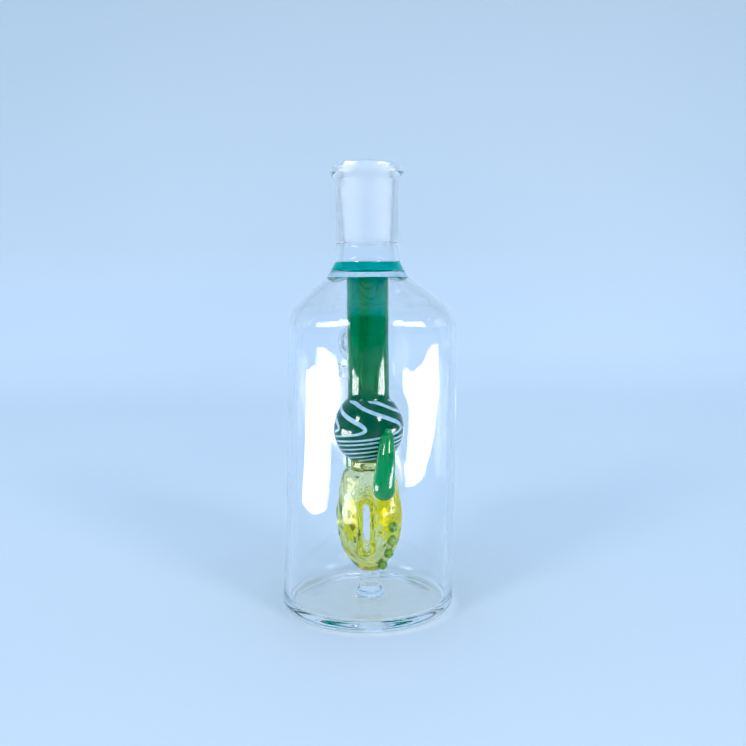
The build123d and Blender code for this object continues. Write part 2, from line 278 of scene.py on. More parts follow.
def weld_glass():
    """Clear glass made cloudy by the small bubbles and folds of a weld."""
    material, tree, principled = shader(
        "weld_glass", Base_Color=(0.80, 0.89, 0.97, 1), Roughness=0.12, IOR=1.47, Transmission_Weight=0.35)
    folds = place_texture(tree, "ShaderNodeTexNoise", 700, 3.0, (1, 1, 2.5))
    tint(tree, principled, folds, (0.62, 0.78, 0.88), (0.90, 0.95, 1.0))
    bump(tree, principled, folds, 0.3, 0.1 * MM)
    return material


def ground_glass():
    """Glass whose surface was ground with wet grit: a fine grain and faint turning marks."""
    material, tree, principled = shader(
        "ground_glass", Base_Color=(0.96, 0.98, 1.0, 1), Roughness=0.36, IOR=1.47, Transmission_Weight=0.84)
    grain = place_texture(tree, "ShaderNodeTexNoise", 2600, 3.0, (1, 1, 1.6))
    bump(tree, principled, grain, 0.35, 0.05 * MM)
    return material


# The green from the ball's foot, at 0, to the top of the tube, at 1. The lighter teal from 0.8 up is a
# painted reflection of the shoulder glass over the tube; below it is the glass's own green.
GREEN_AND_PAINTED_SHEEN = [
    (0.0, (0.0, 0.08, 0.01)),
    (0.32, (0.0, 0.10, 0.015)),
    (0.40, (0.0, 0.20, 0.03)),
    (0.775, (0.0, 0.22, 0.05)),
    (0.80, (0.0, 0.32, 0.17)),
    (1.0, (0.0, 0.34, 0.22)),
]


def green_glass():
    """Deep green glass that is nearly opal, darker down the tube and in the ball, with a painted reflection
    as a teal top where the shoulder glass lies over it.
    """
    material, tree, principled = shader(
        "green_glass", Roughness=0.04, IOR=1.47, Transmission_Weight=0.35, Coat_Weight=0.6)
    height = add(tree, "ShaderNodeMapRange")
    height.inputs["From Min"].default_value = BALL_FOOT
    height.inputs["From Max"].default_value = COLLAR_TOP
    tree.links.new(height_in_place(tree), height.inputs["Value"])
    # The colour by height, which carries the painted reflection at the top of the tube.
    depth = colour_ramp(tree, height.outputs["Result"], GREEN_AND_PAINTED_SHEEN)
    streaks = place_texture(tree, "ShaderNodeTexNoise", 420, 2.0, (1, 1, 0.06))
    streak = colour_ramp(tree, streaks.outputs["Fac"], [(0.40, (0.55, 0.80, 0.25)), (0.62, (1.0, 1.0, 1.25))])
    tree.links.new(multiply(tree, depth, streak), principled.inputs["Base Color"])
    waves = place_texture(tree, "ShaderNodeTexNoise", 260, 1.0, (1, 1, 0.3))
    bump(tree, principled, waves, 0.08, 0.3 * MM)
    return material


def seal_green():
    material, tree, principled = shader("seal_green", Roughness=0.12, IOR=1.47, Coat_Weight=0.4)
    clouds = place_texture(tree, "ShaderNodeTexNoise", 420, 3.0)
    tint(tree, principled, clouds, (0.0, 0.38, 0.34), (0.0, 0.50, 0.45))
    bump(tree, principled, clouds, 0.1, 0.1 * MM)
    return material


def stringer_glass():
    material, tree, principled = shader("stringer_glass", Roughness=0.08, IOR=1.47, Coat_Weight=0.6)
    streaks = place_texture(tree, "ShaderNodeTexNoise", 900, 3.0)
    tint(tree, principled, streaks, (0.40, 0.62, 0.74), (0.60, 0.79, 0.88))
    bump(tree, principled, streaks, 0.05, 0.05 * MM)
    return material


def gild(tree, principled):
    """Deeper gold in two clouds, one on each side of the slot."""
    coords = add(tree, "ShaderNodeTexCoord")
    cloud = place_texture(tree, "ShaderNodeTexNoise", 420, 3.0)
    masks = []
    for centre, reach in GOLD_CLOUDS:
        mapping = add(tree, "ShaderNodeMapping", vector_type="TEXTURE")
        mapping.inputs["Location"].default_value = centre
        mapping.inputs["Scale"].default_value = reach
        length = add(tree, "ShaderNodeVectorMath", operation="LENGTH")
        ragged = add(tree, "ShaderNodeMath", operation="SUBTRACT")
        edge = add(tree, "ShaderNodeMapRange")
        edge.inputs["From Min"].default_value = 0.60
        edge.inputs["From Max"].default_value = 0.40
        tree.links.new(coords.outputs["Object"], mapping.inputs["Vector"])
        tree.links.new(mapping.outputs["Vector"], length.inputs[0])
        tree.links.new(length.outputs["Value"], ragged.inputs[0])
        tree.links.new(cloud.outputs["Fac"], ragged.inputs[1])
        tree.links.new(ragged.outputs["Value"], edge.inputs["Value"])
        masks.append(edge)
    both = add(tree, "ShaderNodeMath", operation="MAXIMUM")
    tree.links.new(masks[0].outputs["Result"], both.inputs[0])
    tree.links.new(masks[1].outputs["Result"], both.inputs[1])
    mix = add(tree, "ShaderNodeMix", data_type="RGBA")
    mix.inputs[MIX_A].default_value = (1.0, 0.995, 0.97, 1)
    mix.inputs[MIX_B].default_value = (1.0, 0.88, 0.0, 1)
    tree.links.new(both.outputs["Value"], mix.inputs["Factor"])
    tree.links.new(mix.outputs[MIX_RESULT], principled.inputs["Base Color"])


def yellow_glass():
    material, tree, principled = shader(
        "yellow_glass", Base_Color=(1, 1, 1, 1), Roughness=0.0, IOR=1.47, Transmission_Weight=1.0)
    dimples = place_texture(tree, "ShaderNodeTexNoise", 380, 2.5, (1, 1, 0.6))
    bump(tree, principled, dimples, 0.5, 0.5 * MM)
    gild(tree, principled)
    absorb(tree, (0.98, 0.95, 0.05), 230.0)
    return material


def dot_glass():
    material, tree, principled = shader("dot_glass", Roughness=0.06, IOR=1.47, Coat_Weight=0.3)
    swirl = place_texture(tree, "ShaderNodeTexNoise", 1100, 3.0)
    tint(tree, principled, swirl, (0.10, 0.30, 0.01), (0.46, 0.68, 0.08), 0.38, 0.58)
    bump(tree, principled, swirl, 0.08, 0.08 * MM)
    return material


def horn_glass():
    material, tree, principled = shader(
        "horn_glass", Roughness=0.07, IOR=1.47, Coat_Weight=0.9)
    streaks = place_texture(tree, "ShaderNodeTexNoise", 300, 3.0, (1, 1, 0.3))
    tint(tree, principled, streaks, (0.0, 0.29, 0.03), (0.0, 0.38, 0.08))
    bump(tree, principled, streaks, 0.06, 0.1 * MM)
    return material


MATERIALS = {
    "clear_glass": clear_glass(),
    "ground_glass": ground_glass(),
    "weld_glass": weld_glass(),
    "green_glass": green_glass(),
    "seal_green": seal_green(),
    "stringer_glass": stringer_glass(),
    "yellow_glass": yellow_glass(),
    "dot_glass": dot_glass(),
    "horn_glass": horn_glass(),
}


# ---------------------------------------------------------------- outlines
def arc_points(centre, start, end):
    """Points on the short arc from start to end about a centre, ends included."""
    a = start - centre
    b = end - centre
    turn = a.angle_signed(b)
    steps = max(2, math.ceil(abs(turn) / ARC_STEP))
    points = []
    for i in range(steps + 1):
        points.append(centre + Matrix.Rotation(-turn * i / steps, 2) @ a)
    return points


def outline(corners, closed):
    """A smooth outline through corners (radius, height, rounding, part): points, and each run's part."""
    places = [Vector((c[0], c[1])) for c in corners]
    count = len(corners)
    points, parts = [], []

    def run_to(target, part):
        start = points[-1]
        steps = max(1, math.ceil((target - start).length / RUN_STEP))
        for i in range(1, steps + 1):
            points.append(start.lerp(target, i / steps))
            parts.append(part)

    part = corners[-1][3] if closed else corners[0][3]
    for i, (_, _, rounding, next_part) in enumerate(corners):
        here = places[i]
        is_end = not closed and i in (0, count - 1)
        if rounding == 0 or is_end:
            bend = [here]
        else:
            back = (places[i - 1] - here).normalized()
            ahead = (places[(i + 1) % count] - here).normalized()
            half = back.angle(ahead) / 2
            centre = here + (back + ahead).normalized() * (rounding / math.sin(half))
            reach = rounding / math.tan(half)
            bend = arc_points(centre, here + back * reach, here + ahead * reach)
        if points:
            run_to(bend[0], part)
        else:
            points.append(bend[0])
        for k, point in enumerate(bend[1:]):
            points.append(point)
            parts.append(part if k < len(bend) // 2 else next_part)
        part = next_part
    if closed:
        run_to(points[0], part)
        points.pop()
    return points, parts


def lathe(name, corners, part_names, closed=False):
    """Turns an outline about Z. Each run's part becomes a material index, to split the surface by."""
    points, parts = outline(corners, closed)
    mesh = bmesh.new()
    rings = []
    for point in points:
        if point.x < 0.01 * MM:
            rings.append([mesh.verts.new((0, 0, point.y))])
            continue
        ring = []
        for k in range(ROUND_STEPS):
            a = 2 * math.pi * k / ROUND_STEPS
            ring.append(mesh.verts.new((point.x * math.cos(a), point.x * math.sin(a), point.y)))
        rings.append(ring)
    pairs = list(zip(rings, rings[1:], parts))
    if closed:
        pairs.append((rings[-1], rings[0], parts[-1]))
    for lower, upper, part in pairs:
        for k in range(ROUND_STEPS):
            n = (k + 1) % ROUND_STEPS
            low = [lower[i % len(lower)] for i in (k, n)]
            high = [upper[i % len(upper)] for i in (n, k)]
            face = mesh.faces.new(list(dict.fromkeys(low + high)))
            face.material_index = part_names.index(part)
            face.smooth = True
    return finished(name, mesh, part_names)


def finished(name, mesh, part_names):
    """Makes an object of a bmesh, with its normals outward and one stand-in slot for each part."""
    bmesh.ops.recalc_face_normals(mesh, faces=mesh.faces)
    data = bpy.data.meshes.new(name)
    mesh.to_mesh(data)
    mesh.free()
    for part in part_names:
        data.materials.append(part_slot(part))
    obj = bpy.data.objects.new(name, data)
    bpy.context.scene.collection.objects.link(obj)
    return obj


def give(obj, material, slot, *nodes):
    """Gives a piece its material, and says which CAD nodes it stands for; its slot is not used."""
    obj.data.materials.clear()
    obj.data.materials.append(MATERIALS[material])
    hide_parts(*nodes)
    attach(obj, "root")


def part_slot(part):
    """A plain material that only carries a part's name through the cuts and joins."""
    return bpy.data.materials.get("part:" + part) or bpy.data.materials.new("part:" + part)


def join_rings(mesh, lower, upper):
    """A smooth band of faces between two rings of as many points."""
    count = len(lower)
    band = []
    for k in range(count):
        n = (k + 1) % count
        face = mesh.faces.new((lower[k], lower[n], upper[n], upper[k]))
        face.smooth = True
        band.append(face)
    return band


def sweep(name, centres, radii, part_names, parts, steps=64):
    """A closed round bar along a path in the XZ plane, with one part name for each stretch."""
    mesh = bmesh.new()
    rings = []
    for i, (centre, radius) in enumerate(zip(centres, radii)):
        ahead = centres[min(i + 1, len(centres) - 1)] - centres[max(i - 1, 0)]
        across = Vector((0, 1, 0))
        up = ahead.normalized().cross(across)
        ring = []
        for k in range(steps):
            a = 2 * math.pi * k / steps
            ring.append(mesh.verts.new(centre + (across * math.cos(a) + up * math.sin(a)) * radius))
        rings.append(ring)
    for lower, upper, part in zip(rings, rings[1:], parts):
        for face in join_rings(mesh, lower, upper):
            face.material_index = part_names.index(part)
    for ring, part in ((rings[0], parts[0]), (rings[-1], parts[-1])):
        cap = mesh.faces.new(ring)
        cap.material_index = part_names.index(part)
    return finished(name, mesh, part_names)


def combine(target, tool, operation):
    """Joins a tool to a closed surface or cuts it away, and removes the tool."""
    modifier = target.modifiers.new(operation, "BOOLEAN")
    modifier.operation = operation
    modifier.object = tool
    modifier.solver = "EXACT"
    modifier.material_mode = "TRANSFER"
    graph = bpy.context.evaluated_depsgraph_get()
    data = bpy.data.meshes.new_from_object(target.evaluated_get(graph))
    target.modifiers.clear()
    target.data = data
    bpy.data.objects.remove(tool)


def hand_made(obj, lean, depth, size=WAVE_SIZE):
    """Lets a true surface stray a little, as glass turned by hand in a flame does."""
    for vertex in obj.data.vertices:
        co = vertex.co
        steady = min(1.0, max(0.0, (co.z - FLOOR_TOP) / STEADY_HEIGHT))
        wave = noise.noise_vector(co / size)
        shift = Vector((wave.x, wave.y, 0)) * depth * steady
        if lean:
            shift.x += lean_at(co)
            swell = FOOT_SWELL * max(0.0, 1 - co.z / SWELL_HEIGHT) / BODY_R
            shift += Vector((co.x, co.y, 0)) * swell
        vertex.co = co + shift


def lean_at(co):
    """The body stands a little askew: its foot to the left, its shoulder to the right of its neck."""
    reach = Vector((co.x, co.y)).length
    near_wall = min(1.0, max(0.0, (reach - COLLAR_R) / (LEAN_EASE * BODY_R)))
    height = co.z / SHOULDER_TOP
    rise = min(height / LEAN_PEAK, max(0.0, (1 - height) / (1 - LEAN_PEAK)))
    foot = max(0.0, 1 - height / FOOT_SHARE)
    return near_wall * (BODY_LEAN * max(0.0, rise) - FOOT_LEAN * foot)


def split_parts(obj, sharp=math.radians(45)):
    """One object for each part of a closed surface, with the normals that the whole surface has."""
    data = obj.data
    data.shade_smooth()
    data.set_sharp_from_angle(angle=sharp)
    normals = [Vector(n.vector) for n in data.corner_normals]
    pieces = {}
    for index, slot in enumerate(data.materials):
        part = slot.name.removeprefix("part:")
        faces = [p for p in data.polygons if p.material_index == index]
        if faces:
            pieces[part] = part_object(part, data, faces, normals)
    bpy.data.objects.remove(obj)
    return pieces


def part_object(part, data, faces, normals):
    """One part's faces as an object of its own, with the corner normals given for them."""
    numbers = {}
    places, polygons, kept = [], [], []
    for face in faces:
        polygon = []
        for loop, vertex in zip(face.loop_indices, face.vertices):
            if vertex not in numbers:
                numbers[vertex] = len(places)
                places.append(data.vertices[vertex].co)
            polygon.append(numbers[vertex])
            kept.append(normals[loop])
        polygons.append(polygon)
    mesh = bpy.data.meshes.new(part)
    mesh.from_pydata(places, [], polygons)
    mesh.shade_smooth()
    mesh.normals_split_custom_set(kept)
    obj = bpy.data.objects.new(part, mesh)
    bpy.context.scene.collection.objects.link(obj)
    return obj


# ---------------------------------------------------------------- the clear bottle
BOTTLE_PARTS = [
    "base_disc", "body_tube", "seal_collar", "seal_skin", "neck_joint", "rim_bead", "ground_bore",
    "support_stem", "stem_foot", "port_collar", "port_elbow", "port_joint", "ground_cone", "port_bore",
]


def bottle_corners():
    """Half the bottle's section, from the middle of its bottom round to the top of the stem."""
    slope = SHOULDER_SLOPE
    wall_top = SHOULDER_TOP - (BODY_R - COLLAR_R) * math.tan(slope)
    bore_r = BODY_R - BODY_WALL
    bore_top = wall_top - BODY_WALL * (1 - math.sin(slope)) / math.cos(slope)
    shoulder_in = COLLAR_R - BODY_WALL / math.sin(slope)
    joint_top = JOINT_FOOT + JOINT_LENGTH
    # radius, height, rounding of the corner, and the part that follows it
    return [
        (0, BOTTOM_HOLLOW, 0, "base_disc"),
        (BODY_R * 0.6, BOTTOM_HOLLOW, 12.0 * MM, "base_disc"),
        (BODY_R - 1.8 * HEEL_ROUND, 0, 2.0 * MM, "base_disc"),
        (BODY_R, 0, HEEL_ROUND, "base_disc"),
        (BODY_R, FLOOR_TOP, 0, "body_tube"),
        (BODY_R, wall_top, SHOULDER_ROUND, "body_tube"),
        (COLLAR_R, SHOULDER_TOP, 0.9 * MM, "seal_collar"),
        (SEAL_R + 0.1 * MM, COLLAR_TOP, 0.5 * MM, "seal_skin"),
        (NECK_FOOT_R, SEAL_TOP, 1.6 * MM, "neck_joint"),
        (NECK_R, JOINT_FOOT, 6.0 * MM, "neck_joint"),
        (NECK_R, RIM_FOOT, 0.5 * MM, "rim_bead"),
        (RIM_R + 0.1 * MM, RIM_FOOT + 2.1 * MM, 0.6 * MM, "rim_bead"),
        (RIM_R - 1.1 * MM, NECK_TOP, 0.9 * MM, "rim_bead"),
        (JOINT_LARGE_R + 0.35 * MM, NECK_TOP, 0.5 * MM, "rim_bead"),
        (JOINT_LARGE_R, joint_top, 0.3 * MM, "ground_bore"),
        (JOINT_SMALL_R, JOINT_FOOT, 0, "neck_joint"),
        (SHANK_TOP_R, JOINT_FOOT - 0.3 * MM, 0.2 * MM, "neck_joint"),
        (SHANK_FOOT_R, SEAL_TOP - 0.2 * MM, 0.8 * MM, "seal_collar"),
        (SHANK_FOOT_R + 0.7 * MM, COLLAR_TOP + 0.8 * MM, 0.4 * MM, "seal_collar"),
        (TUBE_R + 0.5 * MM, COLLAR_TOP + 0.2 * MM, 0.2 * MM, "seal_collar"),
        (TUBE_R + 0.4 * MM, SHOULDER_TOP - 0.2 * MM, 0.2 * MM, "seal_collar"),
        (shoulder_in, SHOULDER_TOP - 0.2 * MM, 1.2 * MM, "body_tube"),
        (bore_r, bore_top, SHOULDER_ROUND - BODY_WALL, "body_tube"),
        (bore_r, FLOOR_TOP, FLOOR_WELD, "base_disc"),
        (FOOT_R, FLOOR_TOP, 0.5 * MM, "stem_foot"),
        (FOOT_R, FOOT_TOP - 1.3 * MM, 0.9 * MM, "stem_foot"),
        (STEM_R, FOOT_TOP, 0.7 * MM, "support_stem"),
        (STEM_R, EGG_FOOT + 0.1 * MM, 0.5 * MM, "support_stem"),
        (0, EGG_FOOT + 0.1 * MM, 0, "support_stem"),
    ]


def port_bar(name, radii_by_stretch, part_names):
    """A bar along the port: out of the wall, round the elbow and down."""
    elbow_r = PORT_Z - ELBOW_FOOT
    bend_start = math.hypot(*port_axis_place()) - elbow_r
    centres, radii, parts = [], [], []

    def put(x, z, radius, part):
        centres.append(Vector((x, 0, z)))
        radii.append(radius)
        parts.append(part)

    for out, radius, part in radii_by_stretch["level"]:
        put(BODY_R + out, 0, radius, part)
    turns = 14
    for i in range(turns + 1):
        a = math.pi / 2 * i / turns
        x = bend_start + elbow_r * math.sin(a)
        put(x, -elbow_r * (1 - math.cos(a)), radii_by_stretch["bend"], "port_elbow")
    for down, radius, part in radii_by_stretch["drop"]:
        put(bend_start + elbow_r, -elbow_r - down, radius, part)
    bar = sweep(name, centres, radii, part_names, parts[1:])
    turn = Matrix.Rotation(math.pi / 2 + PORT_AZIMUTH, 4, "Z")
    bar.data.transform(Matrix.Translation((0, 0, PORT_Z)) @ turn)
    return bar


def port_axis_place():
    """Where the down-pointing joint's axis stands, in X and Y."""
    lo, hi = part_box("port_joint")
    return (lo.x + hi.x) / 2, (lo.y + hi.y) / 2


def port_outside():
    """The port's outer surface. Each row: distance out from the wall or down, radius, part."""
    tip = ELBOW_FOOT - PORT_FOOT
    small_r = PORT_JOINT_R - PORT_CONE_TAPER
    cone_foot = PORT_SHOULDER + JOINT_LENGTH
    return port_bar("port_outside", {
        "level": [
            (-1.2 * MM, PORT_COLLAR_R + 0.1 * MM, "port_collar"),
            (0.0 * MM, PORT_COLLAR_R, "port_collar"),
            (0.5 * MM, PORT_COLLAR_R - 0.5 * MM, "port_collar"),
            (1.1 * MM, PORT_COLLAR_R - 1.0 * MM, "port_collar"),
            (2.0 * MM, PORT_R + 0.2 * MM, "port_collar"),
            (2.9 * MM, PORT_R, "port_collar"),
        ],
        "bend": PORT_R,
        "drop": [
            (0.6 * MM, PORT_R + 0.1 * MM, "port_joint"),
            (1.4 * MM, PORT_R + 0.7 * MM, "port_joint"),
            (2.2 * MM, PORT_JOINT_R - 0.4 * MM, "port_joint"),
            (2.8 * MM, PORT_JOINT_R - 0.05 * MM, "port_joint"),
            (PORT_SHOULDER + 0.3 * MM, PORT_JOINT_R, "port_joint"),
            (PORT_SHOULDER + 0.5 * MM, PORT_JOINT_R, "port_joint"),
            (PORT_SHOULDER + JOINT_LENGTH / 2, (PORT_JOINT_R + small_r) / 2, "ground_cone"),
            (cone_foot - 0.1 * MM, small_r, "ground_cone"),
            (cone_foot + 0.5 * MM, small_r - 0.1 * MM, "port_joint"),
            (tip - 0.3 * MM, small_r - 0.5 * MM, "port_joint"),
            (tip, small_r - 1.1 * MM, "port_joint"),
        ],
    }, BOTTLE_PARTS)


def port_inside():
    """The port's bore, which widens where it runs into the body."""
    bore_r = PORT_R - PORT_WALL
    flare_r = bore_r + 0.9 * MM
    return port_bar("port_inside", {
        "level": [
            (-5.0 * MM, flare_r, "port_bore"),
            (-2.4 * MM, flare_r, "port_bore"),
            (-1.6 * MM, bore_r + 0.2 * MM, "port_bore"),
            (-0.6 * MM, bore_r, "port_bore"),
            (2.9 * MM, bore_r, "port_bore"),
        ],
        "bend": bore_r,
        "drop": [
            (2.0 * MM, bore_r, "port_bore"),
            (12.0 * MM, bore_r, "port_bore"),
            (ELBOW_FOOT - PORT_FOOT + 2 * MM, bore_r, "port_bore"),
        ],
    }, BOTTLE_PARTS)


def make_bottle():
    """The clear bottle: turned, joined with its port, bored out, then split into its welded parts."""
    bottle = lathe("bottle", bottle_corners(), BOTTLE_PARTS)
    combine(bottle, port_outside(), "UNION")
    combine(bottle, port_inside(), "DIFFERENCE")
    hand_made(bottle, lean=True, depth=WAVE_DEPTH)
    pieces = split_parts(bottle)
    stands_for = {
        "ground_bore": "neck_joint",
        "seal_skin": "seal_collar",
        "ground_cone": "port_joint",
        "port_bore": "port_elbow",
    }
    for part, obj in pieces.items():
        slot = "ground_glass" if part.startswith("ground") else "clear_glass"
        material = "weld_glass" if part == "seal_collar" else slot
        give(obj, material, slot, stands_for.get(part, part))


# ---------------------------------------------------------------- the green tube and ball
def ball_arc(inset):
    """Centre distance and radius of the ball's outline arc, moved in by inset."""
    places = [
        Vector((TUBE_R - inset, TUBE_FOOT)),
        Vector((BALL_R - inset, BALL_MIDDLE)),
        Vector((BALL_FOOT_R - inset, BALL_FOOT)),
    ]
    return circle_through(*places)


def circle_through(a, b, c):
    """Centre and radius of the circle through three points."""
    squares = [point.length_squared for point in (a, b, c)]
    rises = [b.y - c.y, c.y - a.y, a.y - b.y]
    runs = [c.x - b.x, a.x - c.x, b.x - a.x]
    doubled = 2 * sum(point.x * rise for point, rise in zip((a, b, c), rises))
    x = sum(square * rise for square, rise in zip(squares, rises)) / doubled
    y = sum(square * run for square, run in zip(squares, runs)) / doubled
    centre = Vector((x, y))
    return centre, (a - centre).length


def ball_radius(z, inset=0.0):
    """The ball's radius at a height."""
    centre, radius = ball_arc(inset)
    return centre.x + math.sqrt(max(0.0, radius ** 2 - (z - centre.y) ** 2))


def ball_corners(inset, rising):
    """Points down the ball's side, or up it."""
    steps = 16
    corners = []
    for i in range(steps + 1):
        z = TUBE_FOOT + (BALL_FOOT - TUBE_FOOT) * (0.5 - 0.5 * math.cos(math.pi * i / steps))
        corners.append((ball_radius(z, inset), z, 0, "worked_ball"))
    return corners[::-1] if rising else corners


GREEN_PARTS = ["downtube", "worked_ball"]


def make_tube_and_ball():
    """One hollow green glass body: the downtube and the ball blown at its foot."""
    bore_r = TUBE_R - TUBE_WALL
    waist = TUBE_FOOT + BALL_WAIST
    outside = [(TUBE_R, COLLAR_TOP, 0, "downtube"), (TUBE_R, waist, 0, "downtube")]
    outside += ball_corners(0, rising=False)[1:]
    inside = ball_corners(TUBE_WALL, rising=True)[:-1]
    inside += [(bore_r, waist, 0, "downtube"), (bore_r, COLLAR_TOP, 0, "downtube")]
    body = lathe("green_body", outside + inside, GREEN_PARTS, closed=True)
    hand_made(body, lean=False, depth=WAVE_DEPTH)
    for part, obj in split_parts(body).items():
        give(obj, "green_glass", "green_glass", part)


def make_seal_ring():
    """The green flare: a funnel inside the clear weld, a thin skin of clear glass over it."""
    ring = lathe("seal_ring", [
        (NECK_FOOT_R - SEAL_SKIN, SEAL_TOP - 0.1 * MM, 0.3 * MM, "seal_ring"),
        (SEAL_R - 2.2 * SEAL_SKIN, COLLAR_TOP + 1.0 * MM, 0.8 * MM, "seal_ring"),
        (SEAL_R - SEAL_SKIN, COLLAR_TOP + 0.35 * MM, 0.3 * MM, "seal_ring"),
        (TUBE_R + 0.7 * MM, COLLAR_TOP + 0.25 * MM, 0.3 * MM, "seal_ring"),
        (TUBE_R + 0.15 * MM, SHOULDER_TOP - 0.6 * MM, 0, "seal_ring"),
        (TUBE_R - TUBE_WALL - 0.1 * MM, SHOULDER_TOP - 0.6 * MM, 0, "seal_ring"),
        (TUBE_R - TUBE_WALL - 0.1 * MM, COLLAR_TOP, 1.5 * MM, "seal_ring"),
        (SHANK_FOOT_R - 0.5 * MM, SEAL_TOP + 0.05 * MM, 0.3 * MM, "seal_ring"),
    ], ["seal_ring"], closed=True)
    give(ring, "seal_green", "green_glass", "seal_ring")


# ---------------------------------------------------------------- stringers on the ball
# One stringer, from the ball's top down to its hairpin and back round to the foot: degrees to the
# right of the hairpin, height above the ball's middle in mm, width in mm.
STRINGER_ROUTE = [
    (-124, 8.5, 1.5), (-97, 7.9, 1.3), (-72, 6.5, 1.15), (-47, 5.1, 1.2), (-22, 3.6, 1.3),
    (-6, 2.4, 1.2), (1, 1.2, 1.0), (-6, 0.3, 0.8), (-22, -0.3, 0.65), (-60, -1.3, 0.6),
    (-118, -2.4, 0.55), (-178, -3.6, 0.5), (-238, -4.8, 0.5), (-298, -6.0, 0.55), (-350, -7.1, 0.7),
    (-390, -8.1, 0.9),
]
HAIRPINS = (-57, -6, 64, 121, 182, 242)


def smooth_route(points, steps=9):
    """A Catmull-Rom line through points of any number of values."""
    vectors = [Vector(p) for p in points]
    padded = [vectors[0] * 2 - vectors[1]] + vectors + [vectors[-1] * 2 - vectors[-2]]
    route = []
    for a, b, c, d in zip(padded, padded[1:], padded[2:], padded[3:]):
        for i in range(steps):
            t = i / steps
            route.append(0.5 * (2 * b + (c - a) * t + (2 * a - 5 * b + 4 * c - d) * t ** 2
                                + (3 * b - a - 3 * c + d) * t ** 3))
    route.append(vectors[-1])
    return route


def on_ball(azimuth, height):
    """A place on the ball's skin and the way out of it."""
    centre, _ = ball_arc(0)
    z = BALL_MIDDLE + height
    r = ball_radius(z)
    side = Vector((math.sin(azimuth), -math.cos(azimuth), 0))
    out = (side * (r - centre.x) + Vector((0, 0, z - centre.y))).normalized()
    return side * r + Vector((0, 0, z)), out


def stringer_place(step, hairpin):
    """Where a step of the route lies on the ball, and the way out there."""
    return on_ball(math.radians(hairpin + step.x), step.y * MM)


def stringer_mesh(mesh, hairpin):
    """A flattened trail laid into the ball's skin, drawn thin at both ends."""
    edge_lift = 0.8 * STRINGER_PROUD
    section = [
        (-1.0, -STRINGER_SUNK),
        (-0.92, 0.0),
        (-0.55, edge_lift),
        (0, STRINGER_PROUD),
        (0.55, edge_lift),
        (0.92, 0.0),
        (1.0, -STRINGER_SUNK),
    ]
    tip_steps, tip_share = 3, 0.1
    route = smooth_route(STRINGER_ROUTE)
    last = len(route) - 1
    rows = []
    for i, step in enumerate(route):
        here, out = stringer_place(step, hairpin)
        start, _ = stringer_place(route[max(i - 1, 0)], hairpin)
        end, _ = stringer_place(route[min(i + 1, last)], hairpin)
        across = (end - start).normalized().cross(out).normalized()
        taper = tip_share + (1 - tip_share) * min(1.0, i / tip_steps, (last - i) / tip_steps)
        half = step.z * MM / 2 * taper
        rows.append([mesh.verts.new(here + across * (half * s) + out * lift) for s, lift in section])
    for lower, upper in zip(rows, rows[1:]):
        join_rings(mesh, lower, upper)
    mesh.faces.new(rows[0])
    mesh.faces.new(rows[-1])


def make_stringers():
    """Six stringers, each the same route from its own hairpin."""
    mesh = bmesh.new()
    for hairpin in HAIRPINS:
        stringer_mesh(mesh, hairpin)
    trails = finished("ball_stringers", mesh, ["ball_stringers"])
    give(trails, "stringer_glass", "white_glass", "ball_swirls", "ball_rings")


# ---------------------------------------------------------------- the yellow bulb
def egg_profile(inset, floor):
    """Corners down the bulb's side, moved in by inset and closed above its foot."""
    widest = EGG_R - inset
    foot = EGG_FOOT + floor
    span = EGG_TOP - foot
    shape = [
        (BALL_FOOT_R - min(inset, TUBE_WALL), EGG_TOP),
        (widest * 0.79, EGG_TOP - span * 0.05),
        (widest * 0.91, foot + span * 0.77),
        (widest, foot + span * 0.50),
        (widest * 0.87, foot + span * 0.25),
        (widest * 0.54, foot + span * 0.07),
        (STEM_R * (1 - inset / (2 * EGG_R)), foot),
    ]
    return [(p.x, p.y) for p in smooth_route(shape, 6)]


def egg_lathe():
    """The hollow bulb and the short neck that joins it to the ball."""
    outside = [(r, z, 0, "egg_bulb") for r, z in egg_profile(0, 0)]
    inside = [(r, z, 0, "egg_bulb") for r, z in egg_profile(EGG_WALL, EGG_FLOOR)]
    neck_top = BALL_FOOT - EGG_NECK_GAP
    corners = [(0, EGG_FOOT, 0, "egg_bulb")] + outside[::-1]
    corners += [(BALL_FOOT_R, neck_top, 0, "egg_bulb"), (BALL_FOOT_R - TUBE_WALL, neck_top, 0, "egg_bulb")]
    corners += inside + [(0, EGG_FOOT + EGG_FLOOR, 0, "egg_bulb")]
    return lathe("egg", corners, ["egg_bulb"])


def slot_bar(name, width, height, depth):
    """A bar with a slot-shaped section that runs from front to back."""
    node_lo, node_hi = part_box("egg_tunnel")
    centre = (node_lo + node_hi) / 2
    mesh = bmesh.new()
    half_run = (height - width) / 2
    steps = 16
    ring = []
    for i in range(2 * (steps + 1)):
        upper = i <= steps
        a = math.pi * (i if upper else i - 1) / steps
        lift = half_run if upper else -half_run
        ring.append((centre.x + width / 2 * math.cos(a), centre.z + width / 2 * math.sin(a) + lift))
    front = [mesh.verts.new((x, -depth, z)) for x, z in ring]
    back = [mesh.verts.new((x, depth, z)) for x, z in ring]
    join_rings(mesh, front, back)
    mesh.faces.new(front)
    mesh.faces.new(back)
    return finished(name, mesh, ["egg_bulb"])


def outlet_drill(azimuth):
    """A round bar through the bulb's wall, low down, at an azimuth counted from the front."""
    centres = [Vector((reach, 0, 0)) for reach in (0.5 * EGG_R, 1.5 * EGG_R)]
    drill = sweep("outlet", centres, [OUTLET_R] * 2, ["egg_bulb"], ["egg_bulb"], steps=24)
    turn = Matrix.Rotation(azimuth - math.pi / 2, 4, "Z")
    drill.data.transform(Matrix.Translation((0, 0, EGG_FOOT + OUTLET_RISE)) @ turn)
    return drill


